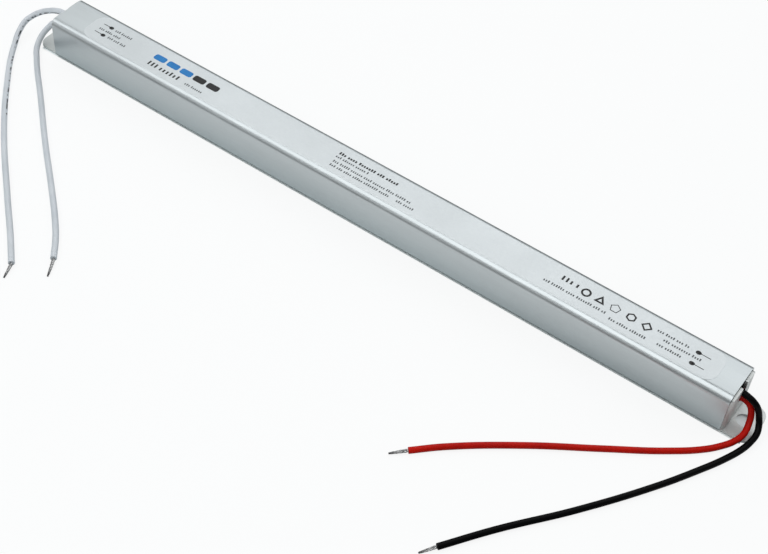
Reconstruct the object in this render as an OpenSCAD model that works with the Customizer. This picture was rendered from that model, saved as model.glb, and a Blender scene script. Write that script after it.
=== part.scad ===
// Slim bar-shaped LED driver in a folded aluminium housing, with wire leads.
// Origin at the middle of the underside, +X towards the output end, +Z up.

/* [Housing cover] */
// Length of the cover along the bar
cover_length = 302.4; // [274:0.2:350]
// Width over the cover's side walls
housing_width = 18.5; // [17.5:0.5:24]
// Height over all
housing_height = 18.5; // [17.5:0.5:26]
// Sheet thickness of the cover
cover_wall = 0.8; // [0.6:0.1:1.2]
// Outer radius of the cover's two long folds
cover_radius = 3; // [1.5:0.25:4]
// Gap between the cover's lower edges and the standing surface
cover_lift = 1.3; // [0.2:0.1:1.8]

/* [Base channel] */
// Sheet thickness of the base
base_wall = 1; // [0.8:0.1:1.3]
// Outer radius of the base's folds
base_radius = 1.6; // [1.4:0.1:2.4]
// How far the end walls stand out beyond the cover
end_reach = 1.1; // [1.1:0.1:3]
// Width of the slit where folded end tabs meet each other and the floor
tab_slit = 0.3; // [0.2:0.1:0.6]
// Width of the wire notch in each end wall
notch_width = 3.4; // [3.2:0.2:5]
// Height of the notch's lowest point above the standing surface
notch_floor = 9.2; // [7:0.2:11]

/* [Fixing ears] */
// Length of an ear beyond the cover's end
ear_length = 10.5; // [9:0.5:16]
// Corner radius of an ear
ear_corner = 4; // [2:0.5:7]
// Diameter of the fixing hole in an ear
hole_diameter = 5.5; // [3:0.5:5.5]
// Distance from the cover's end to the fixing hole
hole_offset = 4.8; // [4.6:0.1:9]

/* [Board] */
// Thickness of the insulating film sleeve
film_thickness = 0.25; // [0.15:0.05:0.4]
// Thickness of the circuit board
board_thickness = 1.6; // [1:0.2:2]
// Free height under the board for solder and small parts
board_lift = 2; // [1.8:0.1:2.6]
// Distance from the cover's end to the board's end
board_setback = 6.5; // [4:0.5:9]
// Diameter of a component lead
lead_diameter = 0.7; // [0.5:0.05:0.9]

/* [Parts on the board] */
// Diameter of the fuse
fuse_diameter = 8; // [6:0.5:8.5]
// Diameter of the surge varistor's disc
varistor_diameter = 9; // [7:0.5:9.5]
// Diameter of the inrush thermistor's disc
thermistor_diameter = 8; // [7:0.5:9]
// Length of the mains filter capacitor
x_cap_length = 13; // [11:0.5:14]
// Length of the filter choke's core
choke_length = 15; // [13:0.5:16]
// Length of the bridge rectifier
bridge_length = 14.3; // [13:0.1:15]
// Outer diameter of a bulk capacitor
bulk_diameter = 10; // [8:0.5:10]
// Length of a bulk capacitor
bulk_length = 18.4; // [15:0.2:19]
// Length of the transformer's core
core_length = 22; // [20:0.5:22]
// Outer diameter of an output capacitor
out_cap_diameter = 8; // [6.3:0.1:8.2]
// Height of an output capacitor
out_cap_height = 9.8; // [8:0.2:10]
// Diameter of the output choke's drum
drum_diameter = 9; // [7:0.5:9.5]
// Length of a small chip part under the board
chip_length = 2; // [1.6:0.1:2.2]

/* [Wires] */
// Outer diameter of the white input wires
input_wire_diameter = 2.4; // [2:0.1:2.6]
// Outer diameter of the output wires
output_wire_diameter = 2.3; // [1.8:0.1:2.4]
// Diameter of the stranded conductor
strand_diameter = 1; // [0.8:0.1:1.2]

/* [Hidden] */
$fn = 48;

// Clearances
cover_fit = 0.05;
joint_gap = 0.2;
film_fit = 0.05;
film_room = 1.2;
board_fit = 0.15;
lead_fit = 0.15;
solder_fit = 0.02;
wrap_fit = 0.05;
cut = 1;

// Housing section
half_cover = cover_length / 2;
base_width = housing_width - 2 * (cover_wall + cover_fit);
base_top = housing_height - cover_radius;
end_top = housing_height - cover_wall - joint_gap;
end_corner = cover_radius - cover_wall;
base_inside = base_width - 2 * base_wall;
base_length = cover_length + 2 * end_reach;
ear_tip = half_cover + ear_length;
hole_x = half_cover + hole_offset;

// Film sleeve and board
film_width = base_inside - 2 * film_fit;
film_top = housing_height - cover_wall - film_room;
film_corner = base_radius - base_wall + 3 * film_fit;
film_overhang = 1.5;
board_length = cover_length - 2 * board_setback;
board_width = film_width - 2 * (film_thickness + board_fit);
board_floor = base_wall + film_thickness + board_lift;
board_top = board_floor + board_thickness;
lead_tail = 1.2;
lead_hole = lead_diameter + 2 * lead_fit;

// Parts stand in a row along the board, each in a slot as long as itself, with equal gaps between.
joint_slot = 8;
disc_slot = max(varistor_diameter, thermistor_diameter);
opto_width = 6.5;
opto_row = 7.62;
power_body = 13;
power_reach = 3;
chip_slot = 6;
bar_size = 2.8;
bar_gap = 0.6;
bulk_stub = 1;
core_slot = core_length + 2 * (bar_gap + bar_size);
SLOTS = [
    joint_slot, fuse_diameter, disc_slot, x_cap_length, choke_length, bridge_length,
    bulk_length + bulk_stub, bulk_length + bulk_stub, power_body + power_reach, chip_slot, core_slot,
    opto_row + lead_hole, power_body + power_reach, out_cap_diameter, out_cap_diameter,
    drum_diameter, out_cap_diameter, joint_slot
];
function total(list, count) = count == 0 ? 0 : list[count - 1] + total(list, count - 1);
slot_gap = (board_length - total(SLOTS, len(SLOTS))) / (len(SLOTS) + 1);
function slot_x(i) = -board_length / 2 + slot_gap * (i + 1) + total(SLOTS, i) + SLOTS[i] / 2;
function gap_x(i) = slot_x(i) + SLOTS[i] / 2 + slot_gap / 2;

fuse_x = slot_x(1);
disc_x = slot_x(2);
x_cap_x = slot_x(3);
choke_x = slot_x(4);
bridge_x = slot_x(5);
bulk_x = [slot_x(6), slot_x(7)];
switch_x = slot_x(8);
chip_x = slot_x(9);
core_x = slot_x(10);
opto_x = slot_x(11);
rectifier_x = slot_x(12);
out_cap_x = [slot_x(13), slot_x(14), slot_x(16)];
drum_x = slot_x(15);

// Lead positions, from which the leads, the board's holes and the solder are made
disc_side = 3;
disc_pitch = 2.5;
fuse_leads = [for (s = [-1, 1]) [fuse_x + s * disc_pitch, 0]];
varistor_leads = [for (s = [-1, 1]) [disc_x + s * disc_pitch, -disc_side]];
thermistor_leads = [for (s = [-1, 1]) [disc_x + s * disc_pitch, disc_side]];
x_cap_leads = [for (s = [-1, 1]) [x_cap_x + s * (x_cap_length / 2 - 1.5), 0]];
choke_leads = [for (s = [-1, 1], t = [-1, 1]) [choke_x + s * (choke_length / 2 - 1.5), t * 3.8]];
bridge_pitch = 3.8;
bridge_leads = [for (k = [-1.5:1.5]) [bridge_x + k * bridge_pitch, 0]];
bulk_leads = [for (x = bulk_x, s = [-1, 1]) [x - bulk_length / 2, s * 2.5]];
pin_pitch = 2.54;
switch_leads = [for (k = [-1:1]) [switch_x - power_body / 2 - power_reach / 2 + lead_hole, k * pin_pitch]];
rectifier_leads = [
    for (k = [-1:1]) [rectifier_x - power_body / 2 - power_reach / 2 + lead_hole, k * pin_pitch]
];
bar_x = core_length / 2 + bar_gap + bar_size / 2;
core_leads = [for (s = [-1, 1], k = [-1.5:1.5]) [core_x + s * bar_x, k * 3]];
opto_side = 3.3;
opto_leads = [
    for (s = [-1, 1], t = [-1, 1]) [opto_x + s * opto_row / 2, t * pin_pitch / 2 - opto_side]
];
y_cap_leads = [for (s = [-1, 1]) [opto_x + s * disc_pitch, opto_side]];
out_cap_leads = [for (x = out_cap_x, s = [-1, 1]) [x + s * 1.75, 0]];
drum_leads = [for (s = [-1, 1]) [drum_x + s * disc_pitch, 0]];
LEADS = concat(
    fuse_leads, varistor_leads, thermistor_leads, x_cap_leads, choke_leads, bridge_leads, bulk_leads,
    switch_leads, rectifier_leads, core_leads, opto_leads, y_cap_leads, out_cap_leads, drum_leads
);

// Wire routes: distance out from the cover's end, then Y and Z. Each starts on the board,
// rises to the notch, leaves it level, bends down to the table and lies there.
joint_setback = 13.5;
line_route = [
    [-joint_setback, 3.2, 6.2], [-10.5, 3.2, 6.5], [-7.5, 2.7, 8], [-4.6, 1.7, 10.8], [-1.8, 0.7, 13.5],
    [1.1, 0.2, 14.8], [4.2, 0.1, 14.9], [7.2, 0.1, 13.9], [10.6, -0.1, 12.3], [15, -0.9, 9.8],
    [18.2, -3.2, 7.5], [19.7, -6.1, 5.6], [19.5, -9.2, 3.9], [18.5, -12.3, 2.6], [16.7, -15.5, 1.8],
    [13.5, -20.6, 1.2], [4.5, -31.8, 1.2], [-14.5, -52.7, 1.2], [-42.7, -79, 1.2], [-57, -91.8, 1.2],
    [-66.7, -101, 1.2]
];
neutral_route = [
    [-joint_setback, -3.2, 6.2], [-10.5, -3.2, 6.3], [-7.5, -2.8, 7.1], [-4.6, -1.8, 8.9],
    [-1.8, -0.8, 10.6], [1.1, -0.35, 11.3], [3.9, -0.8, 10.9], [6.5, -2.1, 9.5], [8.3, -4.3, 7.2],
    [9.3, -6.8, 4.8], [9.1, -9.3, 3], [7.7, -12.2, 1.8], [4.4, -15.7, 1.2], [-0.9, -20.8, 1.2],
    [-11.8, -30.3, 1.2], [-32.5, -48.9, 1.2], [-52.3, -65.8, 1.2], [-64, -76.2, 1.2],
    [-70.5, -82.7, 1.2], [-76.7, -90.2, 1.2]
];
positive_route = [
    [-joint_setback, -3.2, 6], [-10.5, -3.2, 6.1], [-7.5, -2.8, 6.8], [-4.6, -2, 8.3],
    [-1.8, -0.7, 9.8], [0.9, 0.2, 10.6], [3.1, 0.4, 10.3], [5, 0.2, 8.9], [6.3, -0.7, 6.7],
    [7.1, -2.7, 4.4], [7.5, -5.4, 3], [7.2, -7.8, 2.4], [6.1, -10.5, 1.75], [4.1, -13.5, 1.2],
    [-0.2, -18.8, 1.15], [-10.4, -27.6, 1.15], [-26.7, -39.2, 1.15], [-48.5, -54.4, 1.15],
    [-69.1, -71, 1.15], [-77.9, -79.7, 1.15]
];
negative_route = [
    [-joint_setback, 3.2, 6], [-10.5, 3.2, 6.2], [-7.6, 2.8, 7.4], [-4.8, 1.9, 10.1], [-2.2, 0.8, 12.5],
    [0.5, 0.1, 13.5], [3.1, -0.1, 13.2], [5.7, -0.1, 12], [7.7, 0, 9.7], [9.1, -0.4, 6.6],
    [10.4, -2, 4.2], [11, -4.2, 2.9], [10.8, -6.6, 2.1], [9.7, -11.1, 1.25], [6.6, -18.7, 1.15],
    [1.5, -28.4, 1.15], [-6.2, -41.6, 1.15], [-22.3, -65.4, 1.15], [-38.9, -87.1, 1.15],
    [-50.2, -103.6, 1.15]
];
// Bare tips run on from the end of the insulation and droop to the table.
line_tip = [[-66.9, -101.2, 1.2], [-67.6, -103.1, 1], [-69, -107.1, 0.55]];
neutral_tip = [[-76.9, -90.4, 1.2], [-78.3, -92.8, 0.9], [-80.5, -97.2, 0.55]];
positive_tip = [[-78.1, -79.9, 1.15], [-80.1, -81.8, 0.85], [-82.6, -84.3, 0.55]];
negative_tip = [[-50.4, -103.8, 1.15], [-51.8, -105.9, 0.85], [-53.8, -108.7, 0.55]];
tube_sides = 8;
function from_input(route) = [for (p = route) [-half_cover - p.x, p.y, p.z]];
function from_output(route) = [for (p = route) [half_cover + p.x, p.y, p.z]];

// A tube with flat ends, swept along a route
function unit(v) = v / norm(v);
function along(path, i) = unit(path[min(i + 1, len(path) - 1)] - path[max(i - 1, 0)]);
function ring(path, i, r) =
    let (forward = along(path, i), side = unit(cross(forward, [0, 0, 1])), up = cross(side, forward))
    [for (k = [0:tube_sides - 1])
        path[i] + r * (cos(360 * k / tube_sides) * side + sin(360 * k / tube_sides) * up)];

module tube(path, diameter) {
    rings = len(path);
    last = (rings - 1) * tube_sides;
    points = [for (i = [0:rings - 1]) each ring(path, i, diameter / 2)];
    walls = [
        for (i = [0:rings - 2], k = [0:tube_sides - 1])
            let (a = i * tube_sides + k, b = i * tube_sides + (k + 1) % tube_sides)
            each [[a, b, b + tube_sides], [a, b + tube_sides, a + tube_sides]]
    ];
    ends = [[for (k = [tube_sides - 1:-1:0]) k], [for (k = [0:tube_sides - 1]) last + k]];
    polyhedron(points = points, faces = concat(walls, ends));
}

// Draws a section in Y and Z and runs it along X, centred
module bar_of(length) {
    translate([-length / 2, 0, 0]) rotate([90, 0, 90]) linear_extrude(length) children();
}

// Flat shape with four rounded corners, centred
module rounded(w, h, r) {
    square([w, h - 2 * r], center = true);
    square([w - 2 * r, h], center = true);
    for (s = [-1, 1], t = [-1, 1])
        translate([s * (w / 2 - r), t * (h / 2 - r)]) circle(r);
}

// Section of a folded channel's outside: square at the open edge, rounded at the fold
module folded(w, h, r) {
    translate([-w / 2, r]) square([w, h - r]);
    translate([-w / 2 + r, 0]) square([w - 2 * r, h]);
    for (s = [-1, 1])
        translate([s * (w / 2 - r), r]) circle(r);
}

// A coated disc standing on its edge, with a rounded rim
module coated_disc(diameter, thickness) {
    rotate([90, 0, 0]) translate([0, 0, -thickness / 2]) rotate_extrude() intersection() {
        union() {
            square([diameter / 2 - thickness / 2, thickness]);
            translate([diameter / 2 - thickness / 2, thickness / 2]) circle(thickness / 2);
        }
        square([diameter, thickness]);
    }
}

// Straight leads down through the board from a height above it
module leads(places, height) {
    for (p = places)
        translate([p.x, p.y, board_floor - lead_tail])
            cylinder(d = lead_diameter, h = board_thickness + lead_tail + height, $fn = 8);
}

module at_board(x, y = 0, z = 0) {
    translate([x, y, board_top + z]) children();
}

module housing_cover() {
    color("gainsboro") translate([0, 0, cover_lift]) {
        height = housing_height - cover_lift;
        bar_of(cover_length) difference() {
            translate([0, height]) mirror([0, 1]) folded(housing_width, height, cover_radius);
            translate([0, height - cover_wall]) mirror([0, 1])
                folded(housing_width - 2 * cover_wall, height + cut, cover_radius - cover_wall);
        }
    }
}

// The folded trough, outside or inside, rounded along its bottom and up its corners
module trough(length, width, radius, height) {
    intersection() {
        bar_of(length) folded(width, height, radius);
        linear_extrude(height) rounded(length, width, radius);
    }
}

// Outside of the base: its end walls reach up behind the cover's ends, with corners that follow the folds
module end_outline() {
    intersection() {
        folded(base_width, end_top, base_radius);
        translate([0, end_top]) mirror([0, 1]) folded(base_width, end_top, end_corner);
    }
}

module ear(side) {
    root = half_cover;
    linear_extrude(base_wall) difference() {
        union() {
            translate([side > 0 ? root : -ear_tip + ear_corner, -base_width / 2])
                square([ear_tip - ear_corner - root, base_width]);
            translate([side > 0 ? root : -ear_tip, -base_width / 2 + ear_corner])
                square([ear_tip - root, base_width - 2 * ear_corner]);
            for (t = [-1, 1])
                translate([side * (ear_tip - ear_corner), t * (base_width / 2 - ear_corner)])
                    circle(ear_corner);
        }
        translate([side * hole_x, 0]) circle(d = hole_diameter);
    }
}

// What is cut from an end wall: the wire notch, and the slits between the folded tabs
module end_cuts(side) {
    reach = 2 * end_reach + base_wall;
    notch_axis = notch_floor + notch_width / 2;
    tab_width = base_width - 2 * base_radius;
    translate([side * (half_cover + end_reach), 0, 0]) {
        translate([-reach / 2, 0, notch_axis]) rotate([0, 90, 0]) cylinder(d = notch_width, h = reach);
        translate([-reach / 2, -notch_width / 2, notch_axis])
            cube([reach, notch_width, housing_height]);
        translate([-reach / 2, -tab_slit / 2, base_wall]) cube([reach, tab_slit, notch_axis]);
        translate([-reach / 2, -tab_width / 2, base_wall]) cube([reach, tab_width, tab_slit]);
    }
}

module base_channel() {
    color("silver") {
        difference() {
            intersection() {
                bar_of(base_length) end_outline();
                linear_extrude(end_top) rounded(base_length, base_width, base_radius);
            }
            translate([0, 0, base_wall])
                trough(base_length - 2 * base_wall, base_inside, base_radius - base_wall, housing_height);
            translate([base_wall - base_length / 2, -housing_width / 2, base_top])
                cube([base_length - 2 * base_wall, housing_width, housing_height]);
            end_cuts(-1);
            end_cuts(1);
            for (s = [-1, 1])
                translate([s * hole_x, 0, -cut]) cylinder(d = hole_diameter, h = base_wall + 2 * cut);
        }
        ear(-1);
        ear(1);
    }
}

module insulation_sleeve() {
    height = film_top - base_wall;
    color("whitesmoke") translate([0, 0, base_wall + height / 2])
        bar_of(board_length + 2 * film_overhang) difference() {
            rounded(film_width, height, film_corner);
            rounded(film_width - 2 * film_thickness, height - 2 * film_thickness,
                film_corner - film_thickness);
        }
}

module circuit_board() {
    color("darkgreen") difference() {
        translate([-board_length / 2, -board_width / 2, board_floor])
            cube([board_length, board_width, board_thickness]);
        for (p = LEADS)
            translate([p.x, p.y, board_floor - cut])
                cylinder(d = lead_hole, h = board_thickness + 2 * cut, $fn = 8);
    }
}

// Soft pads carry the board and take its heat to the base
module thermal_pads() {
    pad_inset = 3;
    pads = [[x_cap_x, x_cap_length - 2 * pad_inset], [bulk_x[0], bulk_length / 2],
        [bulk_x[1], bulk_length / 2], [core_x, core_length - 2 * pad_inset], [rectifier_x, power_body / 2]];
    color("lightsteelblue") for (p = pads)
        translate([p.x - p.y / 2, -board_width / 2 + pad_inset, board_floor - board_lift])
            cube([p.y, board_width - 2 * pad_inset, board_lift]);
}

// A cone of solder round each lead under the board
module solder_fillets() {
    inner = lead_diameter / 2 + solder_fit;
    foot = 0.65 * lead_diameter;
    rim = 0.07 * lead_diameter;
    height = 0.75 * lead_tail;
    color("silver") for (p = LEADS)
        translate([p.x, p.y, board_floor]) rotate_extrude($fn = 16)
            polygon([[inner, 0], [inner + foot, 0], [inner + rim, -height], [inner, -height]]);
}

// The bared wire ends, soldered to pads on top of the board
module wire_joints(route, side, diameter) {
    pad_radius = 1.4;
    start = [for (p = route) [side * (half_cover + p.x), p.y, p.z]][0];
    pad_x = start.x - side * (pad_radius + joint_gap);
    translate([pad_x, start.y, board_top])
        cylinder(r1 = pad_radius, r2 = pad_radius / 2, h = start.z - board_top + strand_diameter);
    translate([pad_x, start.y, start.z])
        rotate([0, side * 90, 0]) cylinder(d = strand_diameter, h = pad_radius, $fn = 16);
}

module input_joints() {
    color("silver") {
        wire_joints(line_route, -1, input_wire_diameter);
        wire_joints(neutral_route, -1, input_wire_diameter);
    }
}

module output_joints() {
    color("silver") {
        wire_joints(positive_route, 1, output_wire_diameter);
        wire_joints(negative_route, 1, output_wire_diameter);
    }
}

module fuse() {
    stand = 0.5;
    height = 7.5;
    bevel = 0.6;
    color("saddlebrown") {
        at_board(fuse_x, 0, stand) {
            cylinder(d = fuse_diameter, h = height - bevel);
            translate([0, 0, height - bevel])
                cylinder(d1 = fuse_diameter, d2 = fuse_diameter - 2 * bevel, h = bevel);
        }
        leads(fuse_leads, stand);
    }
}

module surge_varistor() {
    stand = 0.6;
    color("royalblue") {
        at_board(disc_x, -disc_side, stand + varistor_diameter / 2) coated_disc(varistor_diameter, 3.4);
        leads(varistor_leads, stand + varistor_diameter / 3);
    }
}

module inrush_thermistor() {
    stand = 0.6;
    color("darkolivegreen") {
        at_board(disc_x, disc_side, stand + thermistor_diameter / 2)
            coated_disc(thermistor_diameter, 3.8);
        leads(thermistor_leads, stand + thermistor_diameter / 3);
    }
}

module x_capacitor() {
    width = 6;
    height = 10;
    color("gold") {
        at_board(x_cap_x) linear_extrude(height) rounded(x_cap_length, width, 0.8);
        leads(x_cap_leads, 0.5);
    }
}

// Filter choke: a closed ferrite frame with a winding on each long leg, on a plastic base
choke_width = 9;
choke_leg = 2.4;
choke_height = 4;
choke_wrap = 1.3;
choke_plate = 1.2;
choke_axis = choke_plate + choke_height / 2 + choke_wrap + wrap_fit;

module choke_base() {
    color("black") {
        at_board(choke_x) linear_extrude(choke_plate) rounded(choke_length, choke_width + 1.5, 0.8);
        leads(choke_leads, choke_plate / 2);
    }
}

module choke_core() {
    color("dimgray") at_board(choke_x, 0, choke_axis - choke_height / 2) linear_extrude(choke_height)
        difference() {
            rounded(choke_length, choke_width, 0.8);
            square([choke_length - 2 * choke_leg, choke_width - 2 * choke_leg], center = true);
        }
}

module choke_windings() {
    span = choke_length - 2 * choke_leg - 0.8;
    color("peru") for (s = [-1, 1])
        at_board(choke_x, s * (choke_width - choke_leg) / 2, choke_axis) bar_of(span) difference() {
            rounded(choke_leg + 2 * (choke_wrap + wrap_fit), choke_height + 2 * (choke_wrap + wrap_fit), 1);
            square([choke_leg + 2 * wrap_fit, choke_height + 2 * wrap_fit], center = true);
        }
}

module bridge_rectifier() {
    stand = 0.8;
    width = 3.4;
    height = 9.4;
    bevel = 2;
    color("black") {
        at_board(bridge_x, width / 2, stand) rotate([90, 0, 0]) linear_extrude(width) polygon([
            [-bridge_length / 2, 0], [bridge_length / 2, 0], [bridge_length / 2, height],
            [-bridge_length / 2 + bevel, height], [-bridge_length / 2, height - bevel]
        ]);
        leads(bridge_leads, stand);
    }
}

// Electrolytic capacitors: an aluminium can with a crimped neck, in a shrunk plastic sleeve
cap_sleeve = 0.25;
cap_neck = 2;
cap_lip = 0.8;

module cap_can(diameter, length) {
    r = diameter / 2 - cap_sleeve - wrap_fit;
    ends = cap_sleeve + wrap_fit;
    rotate_extrude() polygon([
        [0, ends], [r, ends], [r, ends + cap_neck - 0.6], [r - 0.4, ends + cap_neck],
        [r, ends + cap_neck + 0.6], [r, length - ends], [0, length - ends]
    ]);
}

module cap_cover(diameter, length) {
    r = diameter / 2;
    rotate_extrude() polygon([
        [r - cap_lip, 0], [r, 0], [r, length], [r - cap_lip, length], [r - cap_lip, length - cap_sleeve],
        [r - cap_sleeve, length - cap_sleeve], [r - cap_sleeve, cap_sleeve], [r - cap_lip, cap_sleeve]
    ]);
}

module bulk_place(i) {
    at_board(bulk_x[i] - bulk_length / 2 + bulk_stub / 2 + lead_hole / 2, 0, bulk_diameter / 2)
        rotate([0, 90, 0]) children();
}

module bulk_cap_cans() {
    color("silver") {
        for (i = [0, 1])
            bulk_place(i) cap_can(bulk_diameter, bulk_length);
        for (p = bulk_leads)
            at_board(p.x - lead_diameter / 2, p.y, bulk_diameter / 2) rotate([0, 90, 0])
                cylinder(d = lead_diameter, h = bulk_stub + lead_hole, $fn = 8);
        leads(bulk_leads, bulk_diameter / 2);
    }
}

module bulk_cap_sleeves() {
    color("midnightblue") for (i = [0, 1])
        bulk_place(i) cap_cover(bulk_diameter, bulk_length);
}

// A power package lying on its back, leads bent down at one end
module power_package(x, places) {
    width = 9.8;
    height = 4.4;
    step = 1.6;
    lead_z = 1.8;
    at_board(x + power_reach / 2, 0, 0.1) difference() {
        rotate([90, 0, 0]) translate([0, 0, -width / 2]) linear_extrude(width) polygon([
            [-power_body / 2, 0], [power_body / 2, 0], [power_body / 2, height - step],
            [power_body / 6, height - step], [power_body / 6 - 0.4, height], [-power_body / 2, height]
        ]);
        translate([power_body / 3, 0, -cut]) cylinder(d = 3.2, h = height + 2 * cut, $fn = 12);
    }
    for (p = places)
        at_board(p.x - lead_diameter / 2, p.y - lead_diameter / 2, lead_z)
            cube([x + power_reach / 2 - power_body / 2 - p.x + lead_diameter, lead_diameter, lead_diameter]);
    leads(places, lead_z + lead_diameter / 2);
}

module switching_transistor() {
    color("black") power_package(switch_x, switch_leads);
}

module output_rectifier() {
    color("black") power_package(rectifier_x, rectifier_leads);
}

// Small outline chip with bent leads
module controller_chip() {
    body = [4.9, 3.9, 1.4];
    foot = [0.4, 1.1, 0.2];
    color("black") at_board(chip_x) {
        translate([-body.x / 2, -body.y / 2, foot.z]) cube(body);
        for (s = [-1, 1], k = [-1.5:1.5])
            translate([k * 1.27 - foot.x / 2, 0, 0]) mirror([0, s < 0 ? 1 : 0, 0])
                rotate([90, 0, 90]) linear_extrude(foot.x) polygon([
                    [body.y / 2, body.z / 2], [body.y / 2, body.z / 2 + foot.z],
                    [body.y / 2 + foot.y / 2, body.z / 2 + foot.z], [body.y / 2 + foot.y / 2, foot.z],
                    [body.y / 2 + foot.y, foot.z], [body.y / 2 + foot.y, 0],
                    [body.y / 2 + foot.y / 2 - foot.z, 0], [body.y / 2 + foot.y / 2 - foot.z, body.z / 2]
                ]);
    }
}

// Transformer: E cores closed round a bobbin, whose pin bars lie beyond the core's ends
core_width = 11.2;
core_height = 7.6;
core_yoke = 3;
core_leg = [4, 5];
core_window = 2.2;
core_axis = 5.3;
bobbin_wall = 0.5;
bobbin_flange = 0.6;
winding_fill = 1.3;
window_length = core_length - 2 * core_yoke;
bobbin_span = window_length - 2 * lead_fit;
bobbin_tube = [core_leg.x + 2 * (wrap_fit + bobbin_wall), core_leg.y + 2 * (wrap_fit + bobbin_wall)];
bobbin_end = [core_leg.x + 2 * (core_window - lead_fit), bobbin_tube.y + 2 * (winding_fill + lead_fit)];

module transformer_core() {
    color("dimgray") at_board(core_x, 0, core_axis) difference() {
        translate([0, 0, -core_height / 2]) linear_extrude(core_height)
            rounded(core_length, core_width, 0.6);
        for (s = [-1, 1])
            translate([-window_length / 2, s * (core_leg.x + core_window) / 2 - core_window / 2, -core_height])
                cube([window_length, core_window, 2 * core_height]);
        for (s = [-1, 1])
            translate([-window_length / 2, -core_leg.x / 2 - cut, s > 0 ? core_leg.y / 2 : -core_height])
                cube([window_length, core_leg.x + 2 * cut, core_height - core_leg.y / 2]);
    }
}

module transformer_bobbin() {
    bridge_top = core_axis - core_height / 2 - wrap_fit;
    bridge_floor = 0.3;
    bridge_inner = bobbin_span / 2 - bobbin_flange;
    color("black") {
        at_board(core_x, 0, core_axis) {
            bar_of(bobbin_span) difference() {
                square(bobbin_tube, center = true);
                square(bobbin_tube - 2 * bobbin_wall * [1, 1], center = true);
            }
            for (s = [-1, 1])
                translate([s * (bobbin_span - bobbin_flange) / 2, 0, 0]) bar_of(bobbin_flange) difference() {
                    square(bobbin_end, center = true);
                    square(bobbin_tube - 2 * bobbin_wall * [1, 1], center = true);
                }
        }
        for (s = [-1, 1]) {
            at_board(core_x + s * bar_x - bar_size / 2, -core_width / 2) cube([bar_size, core_width, bar_size]);
            at_board(s > 0 ? core_x + bridge_inner : core_x - bar_x, -bobbin_end.x / 2, bridge_floor)
                cube([bar_x - bridge_inner, bobbin_end.x, bridge_top - bridge_floor]);
        }
        leads(core_leads, bar_size / 2);
    }
}

module transformer_winding() {
    span = bobbin_span - 2 * bobbin_flange - 2 * wrap_fit;
    inner = bobbin_tube + 2 * wrap_fit * [1, 1];
    color("gold") at_board(core_x, 0, core_axis) bar_of(span) difference() {
        rounded(inner.x + 2 * winding_fill, inner.y + 2 * winding_fill, 1.2);
        square(inner, center = true);
    }
}

module y_capacitor() {
    diameter = 8;
    stand = 0.6;
    color("deepskyblue") {
        at_board(opto_x, opto_side, stand + diameter / 2) coated_disc(diameter, 3.8);
        leads(y_cap_leads, stand + diameter / 3);
    }
}

module optocoupler() {
    stand = 0.3;
    length = 4.6;
    height = 3.4;
    shoulder = stand + height / 2;
    color("black") {
        at_board(opto_x, -opto_side, stand) linear_extrude(height) square([opto_width, length], center = true);
        for (p = opto_leads)
            at_board((p.x + opto_x) / 2, p.y - lead_diameter / 2, shoulder)
                translate([-opto_row / 4, 0, 0]) cube([opto_row / 2, lead_diameter, lead_diameter / 2]);
        leads(opto_leads, shoulder + lead_diameter / 2);
    }
}

module output_cap_cans() {
    color("silver") {
        for (x = out_cap_x)
            at_board(x) cap_can(out_cap_diameter, out_cap_height);
        leads(out_cap_leads, cap_sleeve + 2 * wrap_fit);
    }
}

module output_cap_sleeves() {
    color("midnightblue") for (x = out_cap_x)
        at_board(x) cap_cover(out_cap_diameter, out_cap_height);
}

// Output choke: a winding on a ferrite drum standing on the board
drum_height = 9;
drum_flange = 1.6;
drum_core = 4;

module output_choke_core() {
    r = drum_diameter / 2;
    color("dimgray") {
        at_board(drum_x) rotate_extrude() polygon([
            [0, 0], [r, 0], [r, drum_flange], [drum_core / 2, drum_flange],
            [drum_core / 2, drum_height - drum_flange], [r, drum_height - drum_flange], [r, drum_height],
            [0, drum_height]
        ]);
        leads(drum_leads, drum_flange / 2);
    }
}

module output_choke_winding() {
    rim = 0.4;
    height = drum_height - 2 * (drum_flange + wrap_fit);
    color("peru") at_board(drum_x, 0, drum_flange + wrap_fit) difference() {
        cylinder(d = drum_diameter - 2 * rim, h = height);
        translate([0, 0, -cut]) cylinder(d = drum_core + 2 * wrap_fit, h = height + 2 * cut);
    }
}

// Chip parts on the underside, in the gaps between the slots
chip_size = [0.62 * chip_length, chip_length];
chip_pitch = board_width / 5.3;
chip_side = 0.4;

module chips(gaps, height, side) {
    for (i = gaps, k = [-1, 0, 1])
        translate([gap_x(i) - chip_size.x / 2, side + k * chip_pitch - chip_size.y / 2, board_floor - height])
            cube([chip_size.x, chip_size.y, height]);
}

module chip_resistors() {
    color("black") chips([3, 5, 8, 12, 15], chip_length / 4, chip_side);
}

module chip_capacitors() {
    color("tan") chips([2, 9, 11, 13], 0.45 * chip_length, -chip_side);
}

module line_wire() {
    color("white") tube(from_input(line_route), input_wire_diameter);
}

module neutral_wire() {
    color("white") tube(from_input(neutral_route), input_wire_diameter);
}

module positive_wire() {
    color("red") tube(from_output(positive_route), output_wire_diameter);
}

module negative_wire() {
    color([0.08, 0.08, 0.09]) tube(from_output(negative_route), output_wire_diameter);
}

module line_wire_tip() {
    color("silver") tube(from_input(line_tip), strand_diameter);
}

module neutral_wire_tip() {
    color("silver") tube(from_input(neutral_tip), strand_diameter);
}

module positive_wire_tip() {
    color("silver") tube(from_output(positive_tip), strand_diameter);
}

module negative_wire_tip() {
    color("silver") tube(from_output(negative_tip), strand_diameter);
}

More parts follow.
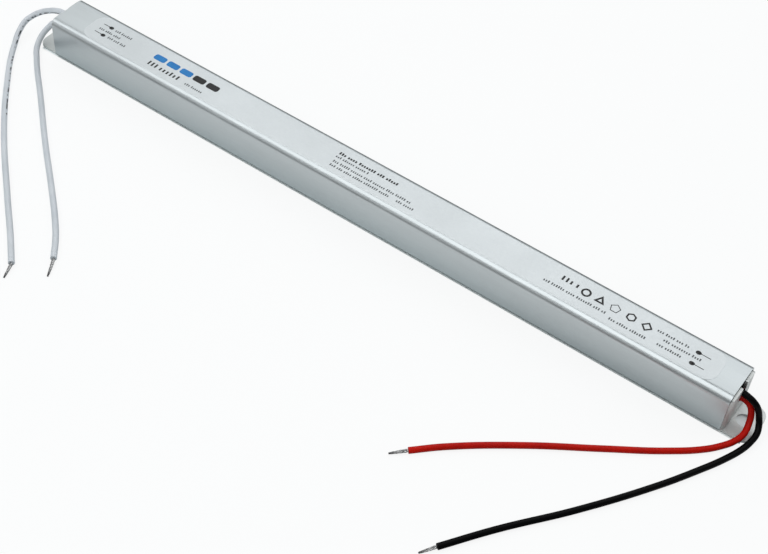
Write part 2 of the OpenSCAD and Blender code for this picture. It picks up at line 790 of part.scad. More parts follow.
housing_cover();
base_channel();
insulation_sleeve();
circuit_board();
thermal_pads();
solder_fillets();
input_joints();
output_joints();
fuse();
surge_varistor();
inrush_thermistor();
x_capacitor();
choke_base();
choke_core();
choke_windings();
bridge_rectifier();
bulk_cap_cans();
bulk_cap_sleeves();
switching_transistor();
controller_chip();
transformer_core();
transformer_bobbin();
transformer_winding();
y_capacitor();
optocoupler();
output_rectifier();
output_cap_cans();
output_cap_sleeves();
output_choke_core();
output_choke_winding();
chip_resistors();
chip_capacitors();
line_wire();
neutral_wire();
positive_wire();
negative_wire();
line_wire_tip();
neutral_wire_tip();
positive_wire_tip();
negative_wire_tip();
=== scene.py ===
import math

import bmesh
import bpy
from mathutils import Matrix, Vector


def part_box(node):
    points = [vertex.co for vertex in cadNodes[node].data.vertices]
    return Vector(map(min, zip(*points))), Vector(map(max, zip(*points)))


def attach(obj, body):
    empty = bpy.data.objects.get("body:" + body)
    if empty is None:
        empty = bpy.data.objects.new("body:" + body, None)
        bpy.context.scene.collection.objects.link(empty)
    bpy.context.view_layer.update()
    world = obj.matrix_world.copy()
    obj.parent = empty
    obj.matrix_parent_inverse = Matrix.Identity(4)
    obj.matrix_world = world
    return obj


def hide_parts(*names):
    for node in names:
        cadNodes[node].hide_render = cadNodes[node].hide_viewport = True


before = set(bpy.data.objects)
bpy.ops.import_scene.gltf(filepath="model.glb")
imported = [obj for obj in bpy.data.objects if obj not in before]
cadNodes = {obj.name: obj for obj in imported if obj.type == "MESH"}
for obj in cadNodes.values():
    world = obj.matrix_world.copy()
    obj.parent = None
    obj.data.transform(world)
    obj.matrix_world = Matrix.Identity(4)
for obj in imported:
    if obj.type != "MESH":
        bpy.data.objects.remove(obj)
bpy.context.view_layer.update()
mm = 0.001
print("frame loaded with", len(cadNodes), "nodes")


def addObject(name, data):
    obj = bpy.data.objects.new(name, data)
    bpy.context.scene.collection.objects.link(obj)
    return obj


# Camera: in front of the bar, above it and towards the output end
cameraSet = {
    "place": (205.8, -317.2, 398.07),  # mm
    "turn": (40.936, -3.243, 35.591),  # degrees
    "lens": 68.6,
    "sensor": 36.0,
    "near": 10.0,  # mm, nothing closer is drawn
}
cameraData = bpy.data.cameras.new("studioCamera")
cameraData.lens = cameraSet["lens"]
cameraData.sensor_width = cameraSet["sensor"]
cameraData.sensor_fit = "HORIZONTAL"
cameraData.clip_start = cameraSet["near"] * mm
camera = addObject("studioCamera", cameraData)
camera.location = [value * mm for value in cameraSet["place"]]
camera.rotation_euler = [math.radians(angle) for angle in cameraSet["turn"]]
bpy.context.scene.camera = camera
print("camera placed")


# sRGB code as a linear colour
def hexColor(code):
    parts = [int(code[i:i + 2], 16) / 255 for i in (1, 3, 5)]
    return tuple(p / 12.92 if p <= 0.04045 else ((p + 0.055) / 1.055) ** 2.4 for p in parts) + (1.0,)


def addNode(tree, kind, settings=None, inputs=None):
    node = tree.nodes.new(kind)
    for key, value in (settings or {}).items():
        setattr(node, key, value)
    for key, value in (inputs or {}).items():
        if isinstance(value, bpy.types.NodeSocket):
            tree.links.new(value, node.inputs[key])
        else:
            node.inputs[key].default_value = value
    return node


def newMaterial(name):
    material = bpy.data.materials.new(name)
    material.use_nodes = True
    material.node_tree.nodes.clear()
    return material, material.node_tree


def closeMaterial(tree, inputs):
    shader = addNode(tree, "ShaderNodeBsdfPrincipled", inputs=inputs)
    addNode(tree, "ShaderNodeOutputMaterial", inputs={"Surface": shader.outputs["BSDF"]})


def mathResult(tree, operation, *values):
    return addNode(tree, "ShaderNodeMath", {"operation": operation}, dict(enumerate(values))).outputs[0]


# Value that eases from one level to another while its source crosses a reach
def easedValue(tree, source, reach, levels):
    node = addNode(tree, "ShaderNodeMapRange", {"interpolation_type": "SMOOTHSTEP"}, {
        "Value": source, "From Min": reach[0], "From Max": reach[1],
        "To Min": levels[0], "To Max": levels[1]})
    return node.outputs["Result"]


# Sockets 6 and 7 of a Mix node are the colours that go in, and 2 is the one that comes out
def mixedColor(tree, factor, color, code):
    mix = addNode(tree, "ShaderNodeMix", {"data_type": "RGBA"}, {
        "Factor": factor, 6: color, 7: hexColor(code)})
    return mix.outputs[2]


def noiseValue(tree, vector, size, detail):
    noise = addNode(tree, "ShaderNodeTexNoise", inputs={
        "Vector": vector, "Scale": 1 / (size * mm), "Detail": detail})
    return noise.outputs["Fac"]


noiseSpan = (0.3, 0.7)  # nearly all of a noise's values lie between these


def cloudColor(tree, noise, finish):
    ramp = addNode(tree, "ShaderNodeValToRGB", inputs={"Fac": noise})
    for stop, place, shade in zip(ramp.color_ramp.elements, noiseSpan, ("dark", "light")):
        stop.position = place
        stop.color = hexColor(finish[shade])
    return ramp.outputs["Color"]


def grainRoughness(tree, noise, finish):
    low, high = finish["rough"]
    node = addNode(tree, "ShaderNodeMapRange", inputs={
        "Value": noise, "From Min": noiseSpan[0], "From Max": noiseSpan[1], "To Min": low, "To Max": high})
    return node.outputs["Result"]


# Colour that darkens towards one edge or end, along an axis of the piece's own coordinates; on the cover this
# is painted shade
def darkerTowards(tree, color, place, edge):
    axes = addNode(tree, "ShaderNodeSeparateXYZ", inputs={0: place.outputs[edge["by"]]})
    near = easedValue(tree, axes.outputs[edge["axis"]], edge["reach"], (0.0, edge["share"]))
    return mixedColor(tree, near, color, edge["color"])


# A plain worked surface: cloudy colour, over "cloud" mm, and a fine grain that breaks up the gloss
surfaceSet = {"cloudDetail": 4.0, "grainDetail": 3.0, "bump": 0.1}


def cloudyMaterial(name, finish):
    material, tree = newMaterial(name)
    place = addNode(tree, "ShaderNodeTexCoord")
    stretch = addNode(tree, "ShaderNodeMapping", inputs={
        "Vector": place.outputs["Object"], "Scale": finish.get("stretch", (1, 1, 1))})
    cloud = noiseValue(tree, stretch.outputs["Vector"], finish["cloud"], surfaceSet["cloudDetail"])
    grain = noiseValue(tree, stretch.outputs["Vector"], finish["grain"], surfaceSet["grainDetail"])
    bump = addNode(tree, "ShaderNodeBump", inputs={
        "Height": grain, "Strength": finish.get("bump", surfaceSet["bump"]),
        "Distance": finish["grain"] * mm})
    color = cloudColor(tree, cloud, finish)
    if "edge" in finish:
        color = darkerTowards(tree, color, place, finish["edge"])
    closeMaterial(tree, {
        "Base Color": color, "Metallic": finish.get("metallic", 0.0),
        "Roughness": grainRoughness(tree, grain, finish), "Normal": bump.outputs["Normal"]})
    return material


# Small dark dashes in a line along a lead: X of the lead's own UV goes along it, Y goes round it
def printedColor(tree, color, place, ink):
    axes = addNode(tree, "ShaderNodeSeparateXYZ", inputs={0: place.outputs["UV"]})
    dashes = noiseValue(tree, place.outputs["Object"], ink["dash"], ink["detail"])
    inked = mathResult(tree, "GREATER_THAN", dashes, ink["share"])
    band = mathResult(tree, "COMPARE", axes.outputs["Y"], ink["round"], ink["half"])
    before = mathResult(tree, "LESS_THAN", axes.outputs["X"], ink["stop"])
    shown = mathResult(tree, "MULTIPLY", mathResult(tree, "MULTIPLY", inked, band), before)
    return mixedColor(tree, shown, color, ink["color"])


# PVC wire insulation, extruded: nearly even colour, a soft gloss and a faint skin
skinSet = {
    "cloud": 9.0, "cloudDetail": 3.0,  # mm, and the noise's detail
    "grain": 0.5, "grainDetail": 2.0,
    "bump": 0.06, "depth": 0.1,  # strength, and mm
    "ior": 1.53,
}


def insulationMaterial(name, finish):
    material, tree = newMaterial(name)
    place = addNode(tree, "ShaderNodeTexCoord")
    cloud = noiseValue(tree, place.outputs["Object"], skinSet["cloud"], skinSet["cloudDetail"])
    grain = noiseValue(tree, place.outputs["Object"], skinSet["grain"], skinSet["grainDetail"])
    bump = addNode(tree, "ShaderNodeBump", inputs={
        "Height": grain, "Strength": skinSet["bump"], "Distance": skinSet["depth"] * mm})
    color = cloudColor(tree, cloud, finish)
    if "print" in finish:
        color = printedColor(tree, color, place, finish["print"])
    closeMaterial(tree, {
        "Base Color": color, "Roughness": grainRoughness(tree, grain, finish), "IOR": skinSet["ior"],
        "Specular IOR Level": finish["gloss"], "Normal": bump.outputs["Normal"]})
    return material


whiteSkin = {"dark": "#c1c7cd", "light": "#cdd2d7", "rough": (0.36, 0.48), "gloss": 0.5}
dashInk = {
    "color": "#2c3036",
    "dash": 1.4, "detail": 1.0,  # mm long, and the detail of the noise that breaks the line up
    "share": 0.5,  # a higher share inks less
    "round": 0.88, "half": 0.045,  # place round the lead and half width, in UV
    "stop": 0.84,  # where the dashes end along it, in UV
}
insulationSet = {
    "whitePvc": whiteSkin,
    "printedWhitePvc": {**whiteSkin, "print": dashInk},
    "redPvc": {"dark": "#a90a00", "light": "#be1200", "rough": (0.34, 0.46), "gloss": 0.13},
    "blackPvc": {"dark": "#020203", "light": "#050506", "rough": (0.34, 0.46), "gloss": 0.07},
}
insulations = {name: insulationMaterial(name, finish) for name, finish in insulationSet.items()}

# Leads: each starts at its solder joint, rises to the notch, bends down and lies on the table
# A point is so many mm out from the cover's end, across the bar and up
coverEnd = round(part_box("housing_cover")[1].x / mm, 2)
leadSet = {"steps": 8, "round": 6, "notch": 5}  # curve and bevel steps, and which point lies in the notch
wireSet = {
    "lineWire": {
        "node": "line_wire", "slot": "white_insulation", "skin": "printedWhitePvc",
        "end": -1, "diameter": 2.4, "length": 172.1,
        "route": [
            (-13.5, 3.2, 6.2), (-10.5, 3.2, 6.5), (-7.5, 2.7, 8), (-4.6, 1.7, 10.8), (-1.8, 0.7, 13.5),
            (1.1, 0.2, 14.8), (4.2, 0.1, 14.9), (7.2, 0.1, 13.9), (10.6, -0.1, 12.3), (15, -0.9, 9.8),
            (18.2, -3.2, 7.5), (19.7, -6.1, 5.6), (19.5, -9.2, 3.9), (18.5, -12.3, 2.6), (16.7, -15.5, 1.8),
            (13.5, -20.6, 1.2), (4.5, -31.8, 1.2), (-14.5, -52.7, 1.2), (-42.7, -79, 1.2), (-57, -91.8, 1.2),
            (-66.7, -101, 1.2)],
        "tip": [(-66.9, -101.2, 1.2), (-67.6, -103.1, 1), (-69, -107.1, 0.55)],
    },
    "neutralWire": {
        "node": "neutral_wire", "slot": "white_insulation", "skin": "whitePvc",
        "end": -1, "diameter": 2.4, "length": 151.3,
        "route": [
            (-13.5, -3.2, 6.2), (-10.5, -3.2, 6.3), (-7.5, -2.8, 7.1), (-4.6, -1.8, 8.9), (-1.8, -0.8, 10.6),
            (1.1, -0.35, 11.3), (3.9, -0.8, 10.9), (6.5, -2.1, 9.5), (8.3, -4.3, 7.2), (9.3, -6.8, 4.8),
            (9.1, -9.3, 3), (7.7, -12.2, 1.8), (4.4, -15.7, 1.2), (-0.9, -20.8, 1.2), (-11.8, -30.3, 1.2),
            (-32.5, -48.9, 1.2), (-52.3, -65.8, 1.2), (-64, -76.2, 1.2), (-70.5, -82.7, 1.2),
            (-76.7, -90.2, 1.2)],
        "tip": [(-76.9, -90.4, 1.2), (-78.3, -92.8, 0.9), (-80.5, -97.2, 0.55)],
    },
    "positiveWire": {
        "node": "positive_wire", "slot": "red_insulation", "skin": "redPvc",
        "end": 1, "diameter": 2.3, "length": 144.4,
        "route": [
            (-13.5, -3.2, 6), (-10.5, -3.2, 6.1), (-7.5, -2.8, 6.8), (-4.6, -2, 8.3), (-1.8, -0.7, 9.8),
            (0.9, 0.2, 10.6), (3.1, 0.4, 10.3), (5, 0.2, 8.9), (6.3, -0.7, 6.7), (7.1, -2.7, 4.4),
            (7.5, -5.4, 3), (7.2, -7.8, 2.4), (6.1, -10.5, 1.75), (4.1, -13.5, 1.2), (-0.2, -18.8, 1.15),
            (-10.4, -27.6, 1.15), (-26.7, -39.2, 1.15), (-48.5, -54.4, 1.15), (-69.1, -71, 1.15),
            (-77.9, -79.7, 1.15)],
        "tip": [(-78.1, -79.9, 1.15), (-80.1, -81.8, 0.85), (-82.6, -84.3, 0.55)],
    },
    "negativeWire": {
        "node": "negative_wire", "slot": "black_insulation", "skin": "blackPvc",
        "end": 1, "diameter": 2.3, "length": 152.5,
        "route": [
            (-13.5, 3.2, 6), (-10.5, 3.2, 6.2), (-7.6, 2.8, 7.4), (-4.8, 1.9, 10.1), (-2.2, 0.8, 12.5),
            (0.5, 0.1, 13.5), (3.1, -0.1, 13.2), (5.7, -0.1, 12), (7.7, 0, 9.7), (9.1, -0.4, 6.6),
            (10.4, -2, 4.2), (11, -4.2, 2.9), (10.8, -6.6, 2.1), (9.7, -11.1, 1.25), (6.6, -18.7, 1.15),
            (1.5, -28.4, 1.15), (-6.2, -41.6, 1.15), (-22.3, -65.4, 1.15), (-38.9, -87.1, 1.15),
            (-50.2, -103.6, 1.15)],
        "tip": [(-50.4, -103.8, 1.15), (-51.8, -105.9, 0.85), (-53.8, -108.7, 0.55)],
    },
}


def placePoint(end, point):
    return Vector((end * (coverEnd + point[0]), point[1], point[2])) * mm


def newCurve(name, radius, roundSteps):
    data = bpy.data.curves.new(name, "CURVE")
    data.dimensions = "3D"
    data.bevel_depth = radius
    data.bevel_resolution = roundSteps
    data.use_fill_caps = True
    return data


# One lead as a bevelled curve, with handles kept no lower than the table
def layWire(name, wire):
    radius = wire["diameter"] / 2 * mm
    data = newCurve(name, radius, leadSet["round"])
    data.resolution_u = leadSet["steps"]
    line = data.splines.new("BEZIER")
    line.bezier_points.add(len(wire["route"]) - 1)
    for knot, point in zip(line.bezier_points, wire["route"]):
        knot.co = placePoint(wire["end"], point)
        knot.handle_left_type = knot.handle_right_type = "AUTO"
    obj = addObject(name, data)
    bpy.context.view_layer.update()
    for knot in line.bezier_points:
        sides = [knot.handle_left.copy(), knot.handle_right.copy()]
        knot.handle_left_type = knot.handle_right_type = "FREE"
        for side in sides:
            side.z = max(side.z, radius)
        knot.handle_left, knot.handle_right = sides
    return obj


# Bare end: tinned strands twisted round one in the middle, drawn together at the tip
tipSet = {
    "strand": 0.36, "round": 3,  # mm across, and bevel steps
    "strands": 6, "spread": 0.46, "lay": 9.0,  # how many, mm from the middle, mm for one full turn
    "taper": 0.3, "steps": 14,  # share of the spread that is left at the tip, and steps along
}


def twistTip(name, wire):
    radius = tipSet["strand"] / 2 * mm
    data = newCurve(name, radius, tipSet["round"])
    a, b, c = (placePoint(wire["end"], point) for point in wire["tip"])
    steps = tipSet["steps"]
    shares = [i / steps for i in range(steps + 1)]
    middle = [a * (1 - t) ** 2 + b * 2 * t * (1 - t) + c * t ** 2 for t in shares]
    turns = (c - a).length / (tipSet["lay"] * mm)
    for strand in range(tipSet["strands"] + 1):
        line = data.splines.new("POLY")
        line.points.add(steps)
        for i, t in enumerate(shares):
            along = (middle[min(i + 1, steps)] - middle[max(i - 1, 0)]).normalized()
            side = along.cross(Vector((0, 0, 1))).normalized()
            up = side.cross(along)
            angle = 2 * math.pi * (strand / tipSet["strands"] + turns * t)
            spread = tipSet["spread"] * mm * (1 - (1 - tipSet["taper"]) * t ** 2)
            if strand == tipSet["strands"]:  # the one in the middle
                spread = 0
            spot = middle[i] + (side * math.cos(angle) + up * math.sin(angle)) * spread
            spot.z = max(spot.z, radius)
            line.points[i].co = (*spot, 1)
    return addObject(name, data)


# Tinned copper: pale grey metal, dull where the flux and the dip left it uneven, and dark at its end
tinnedCopper = cloudyMaterial("tinnedCopper", {
    "dark": "#58585a", "light": "#ededec", "rough": (0.12, 0.24), "metallic": 1.0,
    "cloud": 0.5, "grain": 0.3, "bump": 0.25,
    "edge": {"by": "UV", "axis": "X", "reach": (0.5, 0.95), "share": 0.85, "color": "#38383a"}})
for name, wire in wireSet.items():
    lead = layWire(name, wire)
    tip = twistTip(name + "Tip", wire)
    lead.data.materials.append(insulations[wire["skin"]])
    tip.data.materials.append(tinnedCopper)
    rows = ((lead, wire["node"], wire["slot"]), (tip, wire["node"] + "_tip", "tinned_strand"))
    for piece, node, slot in rows:
        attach(piece, "root")
        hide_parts(node)
print("leads laid:", len(wireSet))

# Housing: rolled aluminium sheet with its grain along the bar, and painted shade along the cover's lowest
# edge
housingSet = {
    "housing_cover": ("satinAluminium", {
        "dark": "#b6bcbe", "light": "#c0c6c8", "rough": (0.29, 0.37), "metallic": 1.0,
        "cloud": 14.0, "grain": 0.6, "stretch": (0.06, 1, 1), "bump": 0.05,
        # painted shade: the cover's colour darkens towards its lowest edge, where the contact shadow under it
        # falls
        "edge": {"by": "Object", "axis": "Z", "reach": (2.1 * mm, 1.4 * mm), "share": 0.75,
                 "color": "#71787a"}}),
    "base_channel": ("foldedAluminium", {
        "dark": "#cacdcc", "light": "#d6d9d8", "rough": (0.52, 0.64), "metallic": 1.0,
        "cloud": 9.0, "grain": 0.5, "stretch": (0.1, 1, 1), "bump": 0.06}),
}
# What is inside, each with its own finish
innerSet = {
    "insulation_sleeve": ("polyesterFilm", {
        "dark": "#d2d0c8", "light": "#e2e1da", "rough": (0.25, 0.4), "cloud": 20.0, "grain": 1.0}),
    "circuit_board": ("glassEpoxyBoard", {
        "dark": "#1c5a34", "light": "#27703f", "rough": (0.3, 0.45), "cloud": 3.0, "grain": 0.4,
        "bump": 0.2}),
    "thermal_pads": ("siliconePad", {
        "dark": "#8791a0", "light": "#98a2b0", "rough": (0.7, 0.85), "cloud": 3.0, "grain": 0.3}),
    "solder_fillets": ("tinSolder", {
        "dark": "#a4a4a2", "light": "#c9c9c6", "rough": (0.15, 0.3), "metallic": 1.0,
        "cloud": 1.0, "grain": 0.2}),
    "fuse": ("phenolicFuseCase", {
        "dark": "#4c2c1b", "light": "#5d3823", "rough": (0.4, 0.55), "cloud": 2.0, "grain": 0.3}),
    "surge_varistor": ("blueEpoxyDip", {
        "dark": "#1c3a90", "light": "#2748a8", "rough": (0.2, 0.32), "cloud": 3.0, "grain": 0.5}),
    "inrush_thermistor": ("greenEpoxyDip", {
        "dark": "#3c4a22", "light": "#4b5b2c", "rough": (0.45, 0.6), "cloud": 2.0, "grain": 0.4}),
    "x_capacitor": ("yellowFilmCase", {
        "dark": "#d0a51c", "light": "#dfb42a", "rough": (0.3, 0.42), "cloud": 4.0, "grain": 0.4}),
    "choke_base": ("blackNylon", {
        "dark": "#131313", "light": "#1d1d1d", "rough": (0.4, 0.55), "cloud": 2.0, "grain": 0.3}),
    "choke_core": ("sinteredFerrite", {
        "dark": "#343436", "light": "#454548", "rough": (0.55, 0.7), "cloud": 1.5, "grain": 0.2,
        "bump": 0.3}),
    "choke_windings": ("enamelledCopper", {
        "dark": "#8a4a22", "light": "#b96a35", "rough": (0.2, 0.3), "metallic": 1.0,
        "cloud": 0.7, "grain": 0.4, "stretch": (2.0, 0.1, 0.1), "bump": 0.6}),
    "bridge_rectifier": ("blackEpoxyMould", {
        "dark": "#101011", "light": "#19191a", "rough": (0.5, 0.65), "cloud": 2.0, "grain": 0.25,
        "bump": 0.2}),
    "bulk_cap_cans": ("drawnAluminiumCan", {
        "dark": "#b9bcbe", "light": "#cfd2d3", "rough": (0.25, 0.38), "metallic": 1.0,
        "cloud": 3.0, "grain": 0.4}),
    "bulk_cap_sleeves": ("shrunkPvcSleeve", {
        "dark": "#12143a", "light": "#1b1e4c", "rough": (0.2, 0.32), "cloud": 4.0, "grain": 0.6}),
    "transformer_winding": ("polyesterTape", {
        "dark": "#dcb22c", "light": "#e9c443", "rough": (0.2, 0.32), "cloud": 4.0, "grain": 0.5,
        "stretch": (3.0, 0.2, 0.2)}),
    "y_capacitor": ("paleBlueEpoxyDip", {
        "dark": "#2f7ab4", "light": "#3f8cc6", "rough": (0.35, 0.5), "cloud": 2.0, "grain": 0.4}),
    "chip_capacitors": ("firedCeramic", {
        "dark": "#8f7457", "light": "#a58a6b", "rough": (0.5, 0.65), "cloud": 0.6, "grain": 0.15}),
}
likeSet = {
    "input_joints": "solder_fillets", "output_joints": "solder_fillets", "transformer_core": "choke_core",
    "output_choke_core": "choke_core", "output_choke_winding": "choke_windings",
    "transformer_bobbin": "choke_base", "switching_transistor": "bridge_rectifier",
    "controller_chip": "bridge_rectifier", "optocoupler": "bridge_rectifier",
    "output_rectifier": "bridge_rectifier", "chip_resistors": "bridge_rectifier",
    "output_cap_cans": "bulk_cap_cans", "output_cap_sleeves": "bulk_cap_sleeves",
}
finishSet = {**housingSet, **innerSet}
finishes = {node: cloudyMaterial(name, finish) for node, (name, finish) in finishSet.items()}
finishes.update({node: finishes[like] for node, like in likeSet.items()})
for node, material in finishes.items():
    cadNodes[node].data.materials.clear()
    cadNodes[node].data.materials.append(material)
print("finishes given to", len(finishes), "nodes")


def joinMesh(name, bm, material):
    data = bpy.data.meshes.new(name)
    bm.to_mesh(data)
    bm.free()
    data.materials.append(material)
    return addObject(name, data)


def addBlock(bm, low, high):
    block = bmesh.ops.create_cube(bm, size=1.0)["verts"]
    bmesh.ops.scale(bm, vec=[(b - a) * mm for a, b in zip(low, high)], verts=block)
    bmesh.ops.translate(bm, vec=[(a + b) / 2 * mm for a, b in zip(low, high)], verts=block)
    return block


uprightLimit = 0.001 * mm  # an edge that climbs more than this is an upright one


def roundCorners(bm, block, radius, segments):
    edges = dict.fromkeys(e for v in block for e in v.link_edges)  # each once, in order
    upright = [e for e in edges if abs(e.verts[0].co.z - e.verts[1].co.z) > uprightLimit]
    bmesh.ops.bevel(bm, geom=upright, offset=radius * mm, segments=segments, profile=0.5,
                    affect="EDGES", material=-1)


# Label: a thin silver film with round corners along the top, pressed down onto the front fold
labelSet = {
    "left": -137.8, "right": 143.1, "front": -7.25, "back": 6.6, "thick": 0.05,  # mm
    "corner": 4.5, "segments": 8,
    "flat": 6.25, "fold": 3.0,  # the top is flat this far out, then rounds over with this radius
    "bends": (-7.0, -6.75, -6.5, -6.25, 6.25),  # the film is cut across here, so that it can bend
}
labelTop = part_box("housing_cover")[1].z / mm


def makeLabel():
    bm = bmesh.new()
    film = addBlock(bm, (labelSet["left"], labelSet["front"], labelTop),
                    (labelSet["right"], labelSet["back"], labelTop + labelSet["thick"]))
    roundCorners(bm, film, labelSet["corner"], labelSet["segments"])
    for y in labelSet["bends"]:
        bmesh.ops.bisect_plane(bm, geom=bm.verts[:] + bm.edges[:] + bm.faces[:],
                               plane_co=(0, y * mm, 0), plane_no=(0, 1, 0))
    fold = labelSet["fold"] * mm
    for v in bm.verts:
        over = max(0.0, abs(v.co.y) - labelSet["flat"] * mm)
        v.co.z -= fold - math.sqrt(fold ** 2 - over ** 2)
    return bm


# Matt silver polyester: brighter and flatter than the sheet under it
labelFilm = cloudyMaterial("silverPolyester", {
    "dark": "#cdd2d4", "light": "#d4d9db", "rough": (0.46, 0.56), "metallic": 0.8,
    "cloud": 25.0, "grain": 0.7, "bump": 0.03})
label = joinMesh("labelFilm", makeLabel(), labelFilm)
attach(label, "root")

# Print: lead marks of a dot and a rule, rows of small blocks, plain outlines and round blocks of colour
# Places are in mm along the bar and across it, and a line is (start, stop, across)
printSet = {
    "dots": [(-129.6, 2.4), (-129.3, -2.9), (133.6, 1.7), (133.8, -3.7)],
    "dotSize": (1.05, 0.85), "dotSides": 24,  # half of its length and width
    "rules": [(-133.6, -129.6, 2.5), (-133.7, -129.3, -2.8), (133.6, 138.2, 1.7), (133.8, 138.3, -3.7)],
    "ruleWidth": 0.3,
    "thin": {
        "high": 1.15, "wide": 0.5, "gap": 0.4, "seed": (2, 5),  # the first line's, and the step to the next
        "lines": [
            (-127.2, -118.4, 2.3), (-133.3, -122.7, -0.3), (-126.9, -117.9, -2.6), (-85.9, -77.0, -4.2),
            (-16.9, -1.5, 0.6), (-16.3, 18.4, -2.0), (-16.2, 10.9, -4.2), (13.7, 21.0, -4.2),
            (75.4, 100.1, -2.8), (102.1, 116.8, -4.1), (118.0, 130.8, 1.8), (121.6, 136.8, -0.8),
            (120.5, 131.0, -3.6)],
    },
    "bold": {"high": 1.3, "wide": 0.72, "gap": 0.36, "seed": (3, 7), "lines": [(-16.8, 10.1, 2.7)]},
    "tall": {
        "high": 2.2, "wide": 0.75, "gap": 0.95, "seed": (3, 7),
        "lines": [(80.2, 87.2, 1.9), (-104.8, -88.7, -3.6)],
    },
    "draw": (37, 11, 101),  # the next draw is the last one times this, plus this, within this
    "tops": (0.5, 0.25, 0.25),  # how far a block reaches above its line, as a share of the row's height
    "group": (3, 6),  # fewest blocks before a space, and the draws' choices of more
    "frames": [
        {"place": (90.3, 1.0), "sides": 24, "radius": 1.9, "line": 0.75},
        {"place": (95.9, 0.9), "sides": 3, "radius": 2.4, "line": 0.7},
        {"place": (101.8, 1.0), "sides": 5, "radius": 2.1, "line": 0.3},
        {"place": (108.1, 1.0), "sides": 6, "radius": 2.0, "line": 0.6},
        {"place": (114.3, 0.7), "sides": 4, "radius": 2.2, "line": 0.6}],
    "blueBlocks": [(-105.4, -99.8), (-98.8, -93.2), (-92.2, -86.6)],
    "darkBlocks": [(-85.6, -80.0), (-79.0, -73.4)],
    "blockSpan": (-0.7, 2.3),  # front and back
    "blockCorner": 0.9, "blockSegments": 4,
    "lift": 0.02,  # how thick the ink lies
}
inkLow = labelTop + labelSet["thick"]
inkTop = inkLow + printSet["lift"]


# Small upright blocks in groups of uneven length, some taller than the rest
def addRow(bm, line, kind, seed):
    start, stop, y = line
    times, plus, within = printSet["draw"]
    fewest, more = printSet["group"]
    tops = printSet["tops"]
    x, draw, left = start, seed, fewest
    while x < stop - kind["wide"]:
        draw = (draw * times + plus) % within
        top = y + kind["high"] * tops[draw % len(tops)]
        addBlock(bm, (x, y - kind["high"] / 2, inkLow), (x + kind["wide"], top, inkTop))
        left -= 1
        x += kind["wide"] + kind["gap"]
        if left == 0:
            x += kind["wide"]
            left = fewest + draw % more


def addRows(bm, kind):
    first, step = kind["seed"]
    for i, line in enumerate(kind["lines"]):
        addRow(bm, line, kind, first + step * i)


# A ring or a frame with straight sides
def addFrame(bm, shape):
    x, y = shape["place"]
    corners = bmesh.ops.create_circle(bm, cap_ends=True, segments=shape["sides"],
                                      radius=shape["radius"] * mm)["verts"]
    bmesh.ops.translate(bm, vec=(x * mm, y * mm, inkLow * mm), verts=corners)
    face = corners[0].link_faces[0]
    face.normal_update()
    rim = bmesh.ops.inset_individual(bm, faces=[face], thickness=shape["line"] * mm,
                                     use_even_offset=True)["faces"]
    bmesh.ops.delete(bm, geom=[face], context="FACES")
    raised = bmesh.ops.extrude_face_region(bm, geom=rim)["geom"]
    tops = [v for v in raised if isinstance(v, bmesh.types.BMVert)]
    bmesh.ops.translate(bm, vec=(0, 0, printSet["lift"] * mm), verts=tops)


def addRoundBlock(bm, start, stop):
    front, back = printSet["blockSpan"]
    block = addBlock(bm, (start, front, inkLow), (stop, back, inkTop))
    roundCorners(bm, block, printSet["blockCorner"], printSet["blockSegments"])


def makeDarkPrint():
    bm = bmesh.new()
    for x, y in printSet["dots"]:
        dot = bmesh.ops.create_cone(bm, cap_ends=True, segments=printSet["dotSides"], radius1=mm, radius2=mm,
                                    depth=printSet["lift"] * mm)["verts"]
        bmesh.ops.scale(bm, vec=(*printSet["dotSize"], 1), verts=dot)
        bmesh.ops.translate(bm, vec=(x * mm, y * mm, (inkLow + inkTop) / 2 * mm), verts=dot)
    half = printSet["ruleWidth"] / 2
    for start, stop, y in printSet["rules"]:
        addBlock(bm, (start, y - half, inkLow), (stop, y + half, inkTop))
    addRows(bm, printSet["bold"])
    addRows(bm, printSet["tall"])
    for shape in printSet["frames"]:
        addFrame(bm, shape)
    for start, stop in printSet["darkBlocks"]:
        addRoundBlock(bm, start, stop)
    return bm


def makeGreyPrint():
    bm = bmesh.new()
    addRows(bm, printSet["thin"])
    return bm


def makeBluePrint():
    bm = bmesh.new()
    for start, stop in printSet["blueBlocks"]:
        addRoundBlock(bm, start, stop)
    return bm


# Screen ink: matt, with a fine grain
inkSet = {
    "darkPrint": ("blackScreenInk", makeDarkPrint, {"dark": "#0b0c0d", "light": "#141516", "cloud": 3.0}),
    "greyPrint": ("thinScreenInk", makeGreyPrint, {"dark": "#44484a", "light": "#585d5f", "cloud": 1.0}),
    "bluePrint": ("blueScreenInk", makeBluePrint, {"dark": "#0d70b4", "light": "#167abd", "cloud": 3.0}),
}
inkFinish = {"rough": (0.5, 0.6), "grain": 0.3}
for name, (inkName, makePrint, shades) in inkSet.items():
    piece = joinMesh(name, makePrint(), cloudyMaterial(inkName, {**inkFinish, **shades}))
    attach(piece, "root")
print("label and print made")

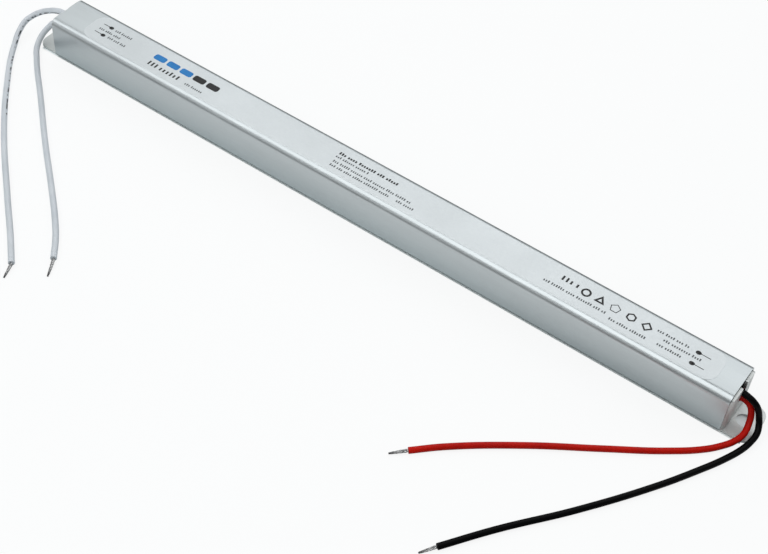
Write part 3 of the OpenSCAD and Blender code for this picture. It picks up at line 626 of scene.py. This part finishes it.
# Studio: white floor, a wide panel behind, a softbox overhead, a low fill in front, and a room dim in front
studioSet = {
    "room": {
        "color": "#b4babc", "bright": 0.41, "dim": 0.08,
        "toward": (0.2, -0.95, 0.22), "spread": (0.8, 0.95),  # where it is dim, and how that side fades in
    },
    "floor": "#e8eff0", "floorSize": 6.0,  # m from the middle
    "floorShow": (0.86, 0.86),  # how far the camera, and metal, see the floor as plain white
    "footprint": (159.0, 9.0),  # mm each way, under the bar, where the floor keeps its own shade
    "shade": (0.01, 16.0),  # mm beyond it over which the white comes up, for the camera and for metal; for metal this is a painted soft shade round the bar
    "paintedFade": (30.0, 80.0, 0.2),  # mm from the bar's middle over which the white dims to this: a painted darkening of the floor's glow, which metal reflects
    "paintedDrop": (0.0, 130.0, 0.78),  # mm along the bar over which the floor under the white dims to this: painted shade for light falling off towards the output end
    "panels": [  # m
        {"name": "backPanel", "place": (-0.03, 0.95, 1.1), "size": (2.7, 1.5), "power": 15.1},
        {"name": "overheadBox", "place": (-0.25, -0.53, 1.0), "size": (1.6, 1.15), "power": 9.9},
        {"name": "frontFill", "place": (-0.9, -1.6, 0.5), "size": (2.2, 0.7), "power": 3.4},
    ],
}


def makeFloor():
    bm = bmesh.new()
    bmesh.ops.create_grid(bm, x_segments=1, y_segments=1, size=studioSet["floorSize"])
    material, tree = newMaterial("studioFloor")
    path = addNode(tree, "ShaderNodeLightPath")
    place = addNode(tree, "ShaderNodeTexCoord")
    axes = addNode(tree, "ShaderNodeSeparateXYZ", inputs={0: place.outputs["Object"]})
    far = [mathResult(tree, "ABSOLUTE", axes.outputs[axis]) for axis in "XY"]
    seen = path.outputs["Is Camera Ray"]
    mirrored = mathResult(tree, "MAXIMUM", path.outputs["Is Glossy Ray"], path.outputs["Is Transmission Ray"])
    shares = []
    for ray, show, shade in zip((seen, mirrored), studioSet["floorShow"], studioSet["shade"]):
        rise = [easedValue(tree, value, (reach * mm, (reach + shade) * mm), (0.0, show))
                for value, reach in zip(far, studioSet["footprint"])]
        shares.append(mathResult(tree, "MULTIPLY", ray, mathResult(tree, "MAXIMUM", *rise)))
    white = mathResult(tree, "ADD", *shares)
    levels = []  # the floor's painted shade and painted dimming, for all rays but the camera's
    for value, fall in ((axes.outputs["X"], "paintedDrop"), (far[1], "paintedFade")):
        start, stop, dim = studioSet[fall]
        level = easedValue(tree, value, (start * mm, stop * mm), (1.0, dim))
        levels.append(mathResult(tree, "MAXIMUM", seen, level))
    paint = addNode(tree, "ShaderNodeVectorMath", {"operation": "SCALE"}, {
        0: hexColor(studioSet["floor"])[:3], "Scale": levels[0]})
    matt = addNode(tree, "ShaderNodeBsdfDiffuse", inputs={"Color": paint.outputs[0]})
    glow = addNode(tree, "ShaderNodeEmission", inputs={"Color": (1, 1, 1, 1), "Strength": levels[1]})
    mix = addNode(tree, "ShaderNodeMixShader", inputs={0: white, 1: matt.outputs[0], 2: glow.outputs[0]})
    addNode(tree, "ShaderNodeOutputMaterial", inputs={"Surface": mix.outputs[0]})
    floor = joinMesh("studioFloor", bm, material)


def makeRoom():
    world = bpy.data.worlds.new("studioRoom")
    world.use_nodes = True
    world.node_tree.nodes.clear()
    tree, room = world.node_tree, studioSet["room"]
    place = addNode(tree, "ShaderNodeTexCoord")
    facing = addNode(tree, "ShaderNodeVectorMath", {"operation": "DOT_PRODUCT"}, {
        0: place.outputs["Generated"], 1: room["toward"]})
    level = easedValue(tree, facing.outputs["Value"], room["spread"], (room["bright"], room["dim"]))
    walls = addNode(tree, "ShaderNodeBackground", inputs={
        "Color": hexColor(room["color"]), "Strength": level})
    addNode(tree, "ShaderNodeOutputWorld", inputs={"Surface": walls.outputs[0]})
    bpy.context.scene.world = world


# Each panel faces the middle of the bar
def makePanels():
    for panel in studioSet["panels"]:
        data = bpy.data.lights.new(panel["name"], "AREA")
        data.shape = "RECTANGLE"
        data.size, data.size_y = panel["size"]
        data.energy = panel["power"]
        lamp = addObject(panel["name"], data)
        lamp.location = panel["place"]
        lamp.rotation_euler = (-Vector(panel["place"])).to_track_quat("-Z", "Y").to_euler()
        lamp.visible_camera = False


makeFloor()
makeRoom()
makePanels()
bpy.context.scene.view_settings.view_transform = "Standard"
print("studio set")
